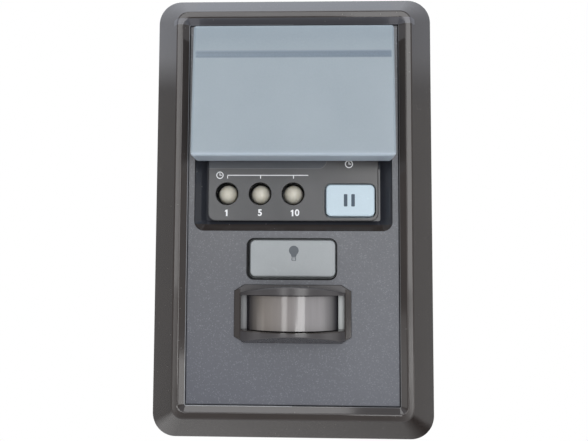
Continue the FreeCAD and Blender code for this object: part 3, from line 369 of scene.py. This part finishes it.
def timer_paint():
    """Gloss plate of the timer with a thin printed bracket line, painted bluer and darker
    inside it as the push bar's shadow and reflection.
    """
    paint = Paint("timer_gloss", IOR=1.5)
    place = paint.place()
    across = paint.axis(place, "X")
    grain = paint.noise(place, 0.28)
    clouds = paint.noise(place, 7.0, 3.0)
    body = paint.blend(clouds, srgb(86, 87, 88), srgb(96, 96, 97))
    body = paint.blend(grain * 0.35, body, srgb(108, 107, 108))
    body = paint.blend(across.step(*TIMER_SHADE) * 0.65, body, srgb(66, 64, 64))
    past_side = (across - BRACKET_X).at_least(0.0)
    past_foot = (BRACKET_Z - paint.axis(place, "Z")).at_least(0.0)
    reach = paint.distance(past_side, past_foot)
    # Painted shade and reflection of the push bar: bluer and darker inside the bracket line.
    body = paint.blend((reach < BRACKET_R) * 0.5, body, srgb(80, 85, 94))
    line = reach.between(BRACKET_R - BRACKET_LINE, BRACKET_R)
    paint.set("Base Color", paint.blend(line * 0.6, body, srgb(128, 128, 130)))
    paint.set("Roughness", 0.17 + clouds * 0.06 + grain * 0.04)
    paint.bump(paint.noise(place, 2.0, 1.0), 0.08, 0.02)
    return paint


def push_bar_paint():
    """Translucent pale blue-grey plastic: its inner ribs show through as painted shade, and
    its lip and underside are painted paler as light from below.
    """
    paint = Paint("push_bar_plastic", IOR=1.46, Subsurface_Weight=0.5, Subsurface_Scale=0.004)
    paint.set("Subsurface Radius", (1.0, 1.0, 1.0))
    place = paint.place()
    height = paint.axis(place, "Z")
    across = paint.axis(place, "X")
    clouds = paint.noise(place, 16.0, 3.0)
    grain = paint.noise(place, 0.4)
    body = paint.blend(clouds, srgb(143, 155, 163), srgb(156, 167, 174))
    body = paint.blend(height.step(*BAR_TOP_SHADE) * 0.6, body, srgb(132, 146, 156))
    inside = 1.0 - abs(across).step(*BAR_INSIDE)
    # Painted shade where the inner band and its two ribs show through the plastic.
    band = height.step(*BAND_FOOT) * (1.0 - height.step(*BAND_TOP)) * inside
    body = paint.blend(band * (0.85 + across * 0.006), body, srgb(98, 114, 130))
    for rib in BAR_RIBS_Z:
        near = 1.0 - (abs(height - rib) / BAR_RIB_W).clamp()
        body = paint.blend(near * inside * 0.45, body, srgb(98, 112, 124))
    # Painted highlight on the lip and painted light on the underside, as light from below.
    lip = height.between(FOOT_LIP_Z, FOOT_LIP_Z + FOOT_LIP_H)
    under = height < FOOT_LIP_Z
    body = paint.blend((lip * 0.1).at_least(under * 0.7), body, srgb(196, 208, 220))
    paint.set("Base Color", paint.blend(grain * 0.2, body, srgb(178, 189, 198)))
    scuffs = paint.noise(paint.stretched(place, 0.2, 1.0, 1.6), 1.4, 4.0)
    paint.set("Roughness", 0.28 + scuffs * 0.16 + grain * 0.05)
    paint.bump(paint.noise(place, 0.7) * 0.6 + grain * 0.4, 0.1, 0.02)
    return paint


def moulded_paint(name, low, high, rough, grain_size=0.45, relief=0.02):
    """Plain moulded plastic with flow clouds, spark-eroded grain and dulled patches."""
    paint = Paint(name, IOR=1.48)
    place = paint.place()
    clouds = paint.noise(place, 9.0, 3.0)
    grain = paint.noise(place, grain_size)
    wear = paint.noise(place, 3.1, 4.0)
    body = paint.blend(clouds, srgb(*low), srgb(*high))
    body = paint.blend(grain * 0.18, body, shade(low, 0.8))
    paint.set("Base Color", paint.blend((wear > 0.68) * 0.12, body, shade(high, 1.15)))
    paint.set("Roughness", rough + wear * 0.1 + grain * 0.05)
    paint.bump(grain * 0.7 + wear * 0.3, 0.25, relief)
    return paint


def lens_paint():
    """Milky smoked lens: upright flutes show through, its ends are painted dark as shade, and
    its two feet are paler.
    """
    paint = Paint("smoked_lens", IOR=1.62)
    place = paint.place()
    across = paint.axis(place, "X")
    flute = paint.noise(paint.stretched(place, 1.0, 0.0, 0.03), 0.55)
    clouds = paint.noise(place, 6.0)
    body = paint.blend(across.step(*LENS_TONE), srgb(128, 120, 112), srgb(154, 151, 152))
    body = paint.blend(flute * 0.4, body, srgb(112, 108, 107))
    # Painted shade: the lens's ends are painted dark where they turn away.
    body = paint.blend(abs(across).step(*LENS_END_SHADE), body, srgb(34, 34, 38))
    feet = abs(across) > LENS_FOOT_X
    foot_tone = paint.blend(across > 0.0, srgb(128, 129, 131), srgb(184, 187, 186))
    paint.set("Base Color", paint.blend(feet, body, foot_tone))
    paint.set("Roughness", 0.09 + clouds * 0.04 + feet * 0.3)
    paint.bump(flute, 0.2, 0.02)
    return paint


def lamp_paint():
    """Milky epoxy, yellowed a little, that scatters light all through its dome."""
    paint = Paint("led_epoxy", IOR=1.52, Subsurface_Weight=0.9, Subsurface_Scale=0.002)
    paint.set("Subsurface Radius", (1.0, 0.95, 0.85))
    place = paint.place()
    clouds = paint.noise(place, 1.4)
    grain = paint.noise(place, 0.25)
    body = paint.blend(clouds, srgb(202, 198, 184), srgb(220, 216, 204))
    paint.set("Base Color", paint.blend(grain * 0.3, body, srgb(188, 184, 170)))
    paint.set("Roughness", 0.05 + clouds * 0.06)
    paint.bump(clouds * 0.5 + grain * 0.5, 0.2, 0.03)
    return paint


def steel_paint(name, low, high, rough):
    """Plated steel: brushed streaks, dull spots and a trace of tarnish."""
    paint = Paint(name, IOR=1.5)
    place = paint.place()
    streaks = paint.noise(paint.stretched(place, 1.0, 1.0, 0.15), 0.8, 4.0)
    spots = paint.noise(place, 0.9, 4.0)
    body = paint.blend(streaks, srgb(*low), srgb(*high))
    tarnish = (spots > 0.62) * 0.35
    paint.set("Base Color", paint.blend(tarnish, body, srgb(112, 104, 92)))
    paint.set("Metallic", 1.0 - tarnish * 0.5)
    paint.set("Roughness", rough + streaks * 0.12 + tarnish * 0.4)
    paint.bump(streaks, 0.15, 0.01)
    return paint


def board_paint():
    """Black solder resist over copper tracks, which show as low ridges."""
    paint = Paint("board_laminate", IOR=1.5)
    place = paint.place()
    bands = {"wave_type": "BANDS", "bands_direction": "X"}
    curl = {"Distortion": 2.6, "Detail": 1.0, "Detail_Scale": 0.5}
    lanes = paint.node("TexWave", bands, place, Scale=0.16, **curl)
    weave = paint.noise(place, 0.5, 3.0)
    track = lanes > 0.62
    body = paint.blend(track, srgb(22, 26, 28), srgb(38, 44, 46))
    paint.set("Base Color", paint.blend(weave * 0.25, body, srgb(14, 16, 18)))
    paint.set("Roughness", 0.34 + weave * 0.16 - track * 0.08)
    paint.bump(track * 0.7 + weave * 0.3, 0.3, 0.04)
    return paint


def resin_paint():
    """Black moulding resin of a chip, with a faint pattern of filler grains."""
    paint = Paint("chip_resin", IOR=1.5)
    place = paint.place()
    grain = paint.noise(place, 0.15, 3.0)
    paint.set("Base Color", paint.blend(grain, srgb(24, 24, 26), srgb(42, 42, 44)))
    paint.set("Roughness", 0.55 + grain * 0.15)
    paint.bump(grain, 0.3, 0.01)
    return paint


finishes = {
    "casing_gloss": casing_paint("casing_gloss", (57, 52, 50), 0.04),
    "face_metallic": face_paint(),
    "timer_gloss": timer_paint(),
    "push_bar_plastic": push_bar_paint(),
    "smoked_lens": lens_paint(),
    "board_laminate": board_paint(),
    "chip_resin": resin_paint(),
    "led_epoxy": lamp_paint(),
}

# Darker tone, lighter tone, roughness, and for some the size and depth of the grain
MOULDED = {
    "frame_plastic": ((44, 43, 45), (56, 55, 57), 0.4),
    "grey_button": ((153, 158, 160), (166, 170, 172), 0.34),
    "white_button": ((193, 211, 221), (204, 222, 232), 0.3),
    "cover_plastic": ((52, 50, 50), (64, 62, 61), 0.46, 0.6, 0.04),
    "switch_body": ((40, 40, 42), (54, 54, 56), 0.42),
    "switch_plunger": ((34, 32, 32), (46, 44, 43), 0.3),
}

STEEL = {
    "spring_steel": ((150, 150, 152), (196, 196, 198), 0.25),
    "sensor_can": ((160, 156, 140), (204, 200, 184), 0.22),
    "capacitor_can": ((168, 170, 172), (214, 215, 216), 0.3),
    "screw_steel": ((140, 140, 140), (190, 188, 184), 0.3),
    "terminal_steel": ((150, 146, 132), (206, 200, 182), 0.28),
}

finishes.update({name: moulded_paint(name, *facts) for name, facts in MOULDED.items()})
finishes.update({name: steel_paint(name, *facts) for name, facts in STEEL.items()})

for subpart in frame["record"]["subparts"]:
    node = frame["nodes"][subpart["node"]]
    node.data.materials.clear()
    node.data.materials.append(finishes[subpart["material_slot"]].material)


# Printed marks, in millimetres

# Ink, and how far in front of the wall each printed face lies
INK_T = 0.03
PANEL_INK_Z = 15.4
LIGHT_INK_Z = 18.2
HOLD_INK_Z = 16.7
WELD = 1e-4

# Figures under the lamps; the capital height is a share of the font's size
DIGIT_H = 1.85
DIGIT_DROP = 5.5
FONT_CAPITAL = 0.72
STROKE_SWELL = 0.07

# Scale over the lamps, with the two ends of a tick below its line
SCALE_RISE = 5.3
SCALE_OVERRUN = 4.2
SCALE_LINE = 0.24
TICK = (0.12, 0.95)

# Clocks: radius and line. Their hands are shares of the radius and of the line.
TIMER_CLOCK = (1.05, 0.26)
TIMER_CLOCK_SHIFT = 2.2
HOLD_CLOCK = (1.15, 0.28)
HOLD_CLOCK_Z = 13.9
CLOCK_HANDS = (0.62, 0.55)
CLOCK_HAND_W = 0.8

# Pause bars on the hold-open button: half width, half height and corner
PAUSE_BAR = (0.5, 1.75, 0.2)
PAUSE_SHIFT = 1.05
PAUSE_Z = 3.4

# Bulb on the light button: its globe in degrees, neck and foot as shares of its radius
BULB_X = 0.3
BULB_RISE = 2.2
BULB_R = 1.36
BULB_START, BULB_SWEEP, BULB_STEPS = -52, 284, 32
BULB_NECK = 0.46
BULB_FOOT = 1.3

# Cap of the bulb; the thread's places are shares of the cap's half height
CAP_DROP = 0.15
CAP_HALF = (0.64, 0.52)
CAP_LINE = 0.2
CAP_CORNER = 0.22
THREAD_RISE = 0.42
THREAD_HALF_H = 0.3
THREAD_CORNER = 0.08


def ink_paint(name, tone):
    """Printing ink, a little thinner here and there."""
    paint = Paint(name, IOR=1.5)
    place = paint.place()
    thin = paint.noise(place, 0.3, 3.0)
    paint.set("Base Color", paint.blend(thin * 0.3, srgb(*tone), shade(tone, 0.82)))
    paint.set("Roughness", 0.35 + thin * 0.2)
    paint.bump(thin, 0.2, 0.01)
    return paint


white_ink = ink_paint("white_ink", (246, 247, 248))
grey_ink = ink_paint("grey_ink", (84, 90, 96))
slate_ink = ink_paint("slate_ink", (58, 76, 92))


def laid_on(name, curve, height, body, slot, paint):
    """Turns a flat curve into a thin printed film on a face that looks out of the wall."""
    holder = bpy.data.objects.new(name, curve)
    bpy.context.scene.collection.objects.link(holder)
    bpy.context.view_layer.update()
    graph = bpy.context.evaluated_depsgraph_get()
    mesh = bpy.data.meshes.new_from_object(holder.evaluated_get(graph), depsgraph=graph)
    bpy.data.objects.remove(holder)
    film = bmesh.new()
    film.from_mesh(mesh)
    bmesh.ops.remove_doubles(film, verts=film.verts, dist=WELD)
    for vertex in film.verts:
        x, y, z = vertex.co
        vertex.co = Vector((x, -(height + INK_T / 2 + z), y)) * MM
    bmesh.ops.recalc_face_normals(film, faces=film.faces)
    film.to_mesh(mesh)
    film.free()
    mesh.materials.clear()
    mesh.materials.append(paint.material)
    piece = bpy.data.objects.new(name, mesh)
    bpy.context.scene.collection.objects.link(piece)
    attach(piece, body)


def on_panel(name, curve):
    """Prints a mark on the timer panel."""
    laid_on(name, curve, PANEL_INK_Z, "casing", "timer_gloss", white_ink)


def flat_curve(*loops):
    """Filled flat curve of closed loops of x, y points; a loop inside another is a hole."""
    curve = bpy.data.curves.new("mark", "CURVE")
    curve.dimensions = "2D"
    curve.fill_mode = "BOTH"
    curve.extrude = INK_T / 2
    for loop in loops:
        line = curve.splines.new("POLY")
        line.points.add(len(loop) - 1)
        for point, (x, y) in zip(line.points, loop):
            point.co = (x, y, 0.0, 1.0)
        line.use_cyclic_u = True
    return curve


def number_curve(text, x, y):
    """Plain number, centred on x, y."""
    curve = bpy.data.curves.new("number", "FONT")
    curve.body = text
    curve.size = DIGIT_H / FONT_CAPITAL
    curve.align_x = "CENTER"
    curve.align_y = "CENTER"
    curve.extrude = INK_T / 2
    curve.offset = STROKE_SWELL
    curve.offset_x = x
    curve.offset_y = y
    return curve


def ring(x, y, radius, steps=48):
    turn = 2 * math.pi / steps
    angles = [i * turn for i in range(steps)]
    return [(x + radius * math.cos(a), y + radius * math.sin(a)) for a in angles]


def stroke(start, end, width):
    """Straight stroke of even width from start to end."""
    a, b = Vector(start), Vector(end)
    ahead = b - a
    side = Vector((-ahead.y, ahead.x)).normalized() * width / 2
    return [tuple(a + side), tuple(a - side), tuple(b - side), tuple(b + side)]


def rounded(x, y, half_w, half_h, radius, steps=6):
    """Rectangle with round corners round the middle x, y."""
    points = []
    for quarter, (sx, sy) in enumerate(((1, 1), (-1, 1), (-1, -1), (1, -1))):
        cx = x + sx * (half_w - radius)
        cy = y + sy * (half_h - radius)
        for i in range(steps + 1):
            angle = math.pi / 2 * (quarter + i / steps)
            points.append((cx + radius * math.cos(angle), cy + radius * math.sin(angle)))
    return points


def clock_loops(x, y, radius, line):
    """Clock face: a ring, a hand that points up and one that points right."""
    hand = line * CLOCK_HAND_W
    up, right = radius * CLOCK_HANDS[0], radius * CLOCK_HANDS[1]
    return [
        ring(x, y, radius),
        ring(x, y, radius - line),
        stroke((x, y - hand / 2), (x, y + up), hand),
        stroke((x + line / 2, y), (x + right, y), hand),
    ]


def one_loop(x, y):
    """Figure 1 with its flag, centred on x, y."""
    shape = (
        (-0.11, -0.5), (0.13, -0.5), (0.13, 0.5), (-0.03, 0.5),
        (-0.27, 0.34), (-0.27, 0.13), (-0.11, 0.24),
    )
    return [(x + px * DIGIT_H, y + py * DIGIT_H) for px, py in shape]


def bulb_outline(x, y, radius):
    """Lamp bulb: a globe that narrows to its neck."""
    points = []
    for i in range(BULB_STEPS + 1):
        angle = math.radians(BULB_START + i * BULB_SWEEP / BULB_STEPS)
        points.append((x + radius * math.cos(angle), y + radius * math.sin(angle)))
    neck, foot = radius * BULB_NECK, y - radius * BULB_FOOT
    return points + [(x - neck, foot), (x + neck, foot)]


def cap_loops(x, y, half_w, half_h, line):
    """Screw cap of the bulb: an outline with one thread line across it."""
    loops = [rounded(x, y, half_w, half_h, CAP_CORNER)]
    for rise in (half_h * THREAD_RISE, -half_h * THREAD_RISE):
        hole = (half_w - line, half_h * THREAD_HALF_H, THREAD_CORNER)
        loops.append(rounded(x, y + rise, *hole))
    return loops


lamp_box = {name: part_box(name) for name in ("led_1_minute", "led_5_minutes", "led_10_minutes")}
lamp_x = [middle(box)[0] for box in lamp_box.values()]
lamp_z = middle(lamp_box["led_1_minute"])[2]

# Piece, figure, lamp that it stands under, and shift to the right of the lamp's middle
DIGITS = (
    ("number_1", "1", 0, -0.15),
    ("number_5", "5", 1, -0.1),
    ("number_10_tens", "1", 2, -0.25),
    ("number_10_units", "0", 2, 1.05),
)

for name, figure, lamp, shift in DIGITS:
    at = (lamp_x[lamp] + shift, lamp_z - DIGIT_DROP)
    on_panel(name, flat_curve(one_loop(*at)) if figure == "1" else number_curve(figure, *at))

scale_z = lamp_z + SCALE_RISE
clock_x = lamp_x[0] - TIMER_CLOCK_SHIFT
scale_end = lamp_x[2] + SCALE_OVERRUN
on_panel("timer_clock_mark", flat_curve(*clock_loops(clock_x, scale_z, *TIMER_CLOCK)))
scale_line = stroke((lamp_x[0], scale_z), (scale_end, scale_z), SCALE_LINE)
on_panel("timer_scale_mark", flat_curve(scale_line))
for index, x in enumerate(lamp_x):
    tick = stroke((x, scale_z - TICK[0]), (x, scale_z - TICK[1]), SCALE_LINE)
    on_panel("timer_tick_" + str(index + 1), flat_curve(tick))

hold_x = middle(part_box("hold_open_button"))[0]
on_panel("hold_clock_mark", flat_curve(*clock_loops(hold_x, HOLD_CLOCK_Z, *HOLD_CLOCK)))
pause = [rounded(hold_x + side * PAUSE_SHIFT, PAUSE_Z, *PAUSE_BAR) for side in (-1, 1)]
hold_print = (HOLD_INK_Z, "hold_open_button", "white_button", slate_ink)
laid_on("hold_open_mark", flat_curve(*pause), *hold_print)

light_z = middle(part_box("light_button"))[2]
globe = bulb_outline(BULB_X, light_z + BULB_RISE, BULB_R)
cap = cap_loops(BULB_X, light_z - CAP_DROP, *CAP_HALF, CAP_LINE)
light_print = (LIGHT_INK_Z, "light_button", "grey_button", grey_ink)
laid_on("light_mark", flat_curve(globe, *cap), *light_print)


# Springs


def push_bar_coils():
    """The push bar's two springs, copied as one mesh that rides with the casing; the copy keeps
    its shape, though the real turns close up as the bar goes in.
    """
    mesh = frame["nodes"]["push_bar_springs"].data.copy()
    coils = bpy.data.objects.new("push_bar_coils", mesh)
    bpy.context.scene.collection.objects.link(coils)
    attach(coils, "casing")
    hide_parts("push_bar_springs")
    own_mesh(coils)


push_bar_coils()


# Floor, light and camera, in metres

FLOOR_Y = -0.34
FLOOR_Z = -0.25
FLOOR_R = 0.36
# Where the floor starts and ends to fade, in millimetres from its middle
FLOOR_FADE = (160.0, 350.0)
# Level of the world's plain light, and its two tints
AMBIENT = 0.46
WHITE = (1.0, 1.0, 1.0)
COOL_DAYLIGHT = (0.93, 0.97, 1.06)


def floor_piece():
    """Round table top in front of the wall, below the control, that fades out at its edge."""
    disc = bmesh.new()
    bmesh.ops.create_circle(disc, cap_ends=True, segments=96, radius=FLOOR_R)
    for vertex in disc.verts:
        vertex.co += Vector((0.0, FLOOR_Y, FLOOR_Z))
    mesh = bpy.data.meshes.new("studio_floor")
    disc.to_mesh(mesh)
    disc.free()
    paint = Paint("studio_floor", Roughness=0.8, Emission_Color=WHITE, Emission_Strength=0.12)
    place = paint.place()
    grain = paint.noise(place, 40.0)
    reach = paint.distance(paint.axis(place, "X"), paint.axis(place, "Y") - FLOOR_Y / MM)
    camera = paint.node("LightPath", {}, output="Is Camera Ray")
    paint.set("Alpha", 1.0 - camera * reach.step(*FLOOR_FADE))
    paint.set("Base Color", paint.blend(grain * 0.2, (0.86, 0.86, 0.86), (0.82, 0.82, 0.82)))
    mesh.materials.append(paint.material)
    piece = bpy.data.objects.new("studio_floor", mesh)
    bpy.context.scene.collection.objects.link(piece)


def room_level(paint, way):
    """Brightness of the studio as gloss mirrors it, by direction.

    It is white behind the wall, bright above, pale beside the control from its
    middle down and low on the left, and dim elsewhere.
    """
    across = paint.axis(way, "X")
    back = paint.axis(way, "Y")
    up = paint.axis(way, "Z")
    above = up.step(0.24, 0.28) * (0.42 - across * 0.2)
    below = up.step(-0.4, -0.6) * (0.1 - across * 0.8)
    side_low = up.step(-0.09, -0.12) * (0.4 + across * 0.1)
    sides = back.between(-0.6, 0.15) * (0.1 + across * 0.1 + side_low)
    level = 0.33 + across * 0.04 + above + below + sides
    return level.at_least(back.step(0.8, 0.95))


def studio_world():
    """White where it is seen, the room where it is mirrored, and a plain level for its light."""
    world = bpy.data.worlds.new("studio")
    bpy.context.scene.world = world
    paint = Paint("studio", world)
    ground = paint.nodes["Background"]
    camera = paint.node("LightPath", {}, output="Is Camera Ray")
    path = camera.socket.node.outputs
    clear = (camera + Field(paint, path["Is Transmission Ray"])).clamp()
    seen = (clear + Field(paint, path["Is Glossy Ray"])).clamp()
    way = paint.node("TexCoord", {}, output="Generated")
    cool = paint.axis(way, "Z").step(0.2, 0.3) * (1.0 - clear)
    paint.feed(ground.inputs["Color"], paint.blend(cool, WHITE, COOL_DAYLIGHT))
    level = clear.at_least(room_level(paint, way))
    paint.feed(ground.inputs["Strength"], AMBIENT + seen * (level - AMBIENT))


# Name, place, width, height and radiance. Lamps at FRONT_Y shine straight at the wall,
# and the others at the control.
FRONT_Y = -1.0
LAMPS = (
    ("front_right", (0.285, FRONT_Y, 0.175), 0.4, 0.45, 3.6),
    ("front_left", (-0.295, FRONT_Y, 0.175), 0.2, 0.45, 3.6),
    ("front_right_low", (0.32, FRONT_Y, -0.155), 0.276, 0.21, 4.5),
    ("front_low", (0.1325, FRONT_Y, -0.16), 0.075, 0.094, 9.0),
    ("front_left_low", (-0.299, FRONT_Y, -0.155), 0.192, 0.21, 3.0),
    ("behind", (0.0, 1.0, 0.15), 1.2, 1.2, 1.3),
    ("front_top", (0.0, FRONT_Y, 0.51), 0.6, 0.22, 3.2),
    ("overhead", (-0.16, -0.5, 1.0), 0.5, 0.4, 3.0),
    ("right_low", (0.91, -0.34, -0.22), 0.3, 0.12, 2.6),
    ("left_low", (-0.91, -0.34, -0.17), 0.3, 0.16, 0.8),
)


def soft_light(name, place, width, height, radiance):
    """Rectangular soft box as bright as radiance says, which no camera ray sees."""
    x, y, z = place
    aim = Vector((x, 0.0, z)) if y == FRONT_Y else Vector()
    data = bpy.data.lights.new(name, "AREA")
    data.shape = "RECTANGLE"
    data.size = width
    data.size_y = height
    data.energy = radiance * math.pi * width * height
    lamp = bpy.data.objects.new(name, data)
    lamp.location = Vector(place)
    lamp.rotation_euler = (aim - Vector(place)).to_track_quat("-Z", "Y").to_euler()
    lamp.visible_camera = False
    bpy.context.scene.collection.objects.link(lamp)


def studio_camera():
    """The photograph's viewpoint, close in front of the control's middle."""
    data = bpy.data.cameras.new("camera")
    data.sensor_width = 36.0
    data.lens = 43.9
    data.shift_x = 0.0323
    data.shift_y = -0.0111
    data.clip_start = 0.01
    camera = bpy.data.objects.new("camera", data)
    camera.location = (0.0019, -0.2191, -0.0155)
    camera.rotation_euler = [math.radians(angle) for angle in (94.225, -0.322, 1.949)]
    bpy.context.scene.collection.objects.link(camera)
    bpy.context.scene.camera = camera


floor_piece()
studio_world()
for facts in LAMPS:
    soft_light(*facts)
studio_camera()

bpy.context.scene.view_settings.view_transform = "Standard"
